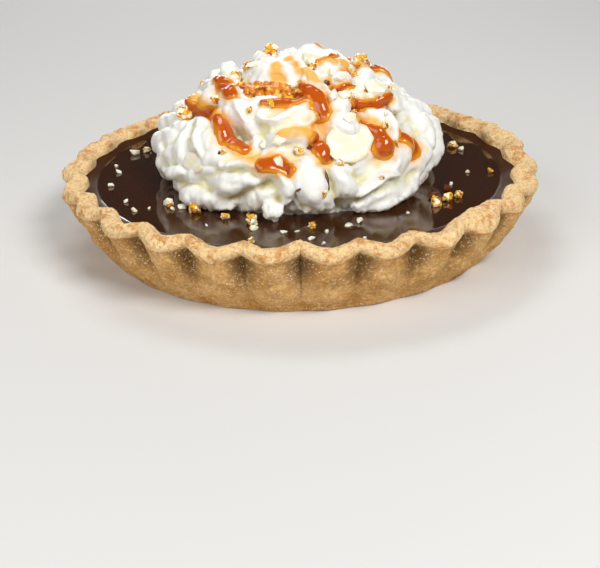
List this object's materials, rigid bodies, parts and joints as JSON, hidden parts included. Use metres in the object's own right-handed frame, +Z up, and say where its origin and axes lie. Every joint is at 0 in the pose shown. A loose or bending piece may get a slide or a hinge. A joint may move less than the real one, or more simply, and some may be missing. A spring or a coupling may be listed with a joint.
{
  "type": "chocolate tart",
  "caption": "Small round chocolate tart: fluted shortcrust shell, glossy dark filling, piped cream mound with caramel, brittle and flaked almonds",
  "frame": {"origin": "middle of the flat underside of the crust, where the tart rests", "axes": "+Z up through the cream; -Y is the front seen in the picture; +X is the right of the front"},
  "size_m": [0.1204, 0.1191, 0.0476],
  "materials": {
    "pastry": "matt baked shortcrust, sandy",
    "chocolate": "glossy dark chocolate",
    "cream": "soft satin whipped cream",
    "caramel": "glossy caramel and sugar brittle",
    "almond": "satin peeled almond"
  },
  "bodies": {
    "root": {"crust": "pastry", "chocolate_filling": "chocolate", "whipped_cream": "cream", "brittle_shard": "caramel", "almond_flake_large": "almond", "almond_flake_small": "almond", "almond_chunk_right": "almond", "almond_chunk_far_right": "almond", "almond_chunk_top": "almond", "brittle_chunk_peak": "caramel", "brittle_chunk_left": "caramel", "nut_cluster_left": "almond"}
  },
  "joints": []
}
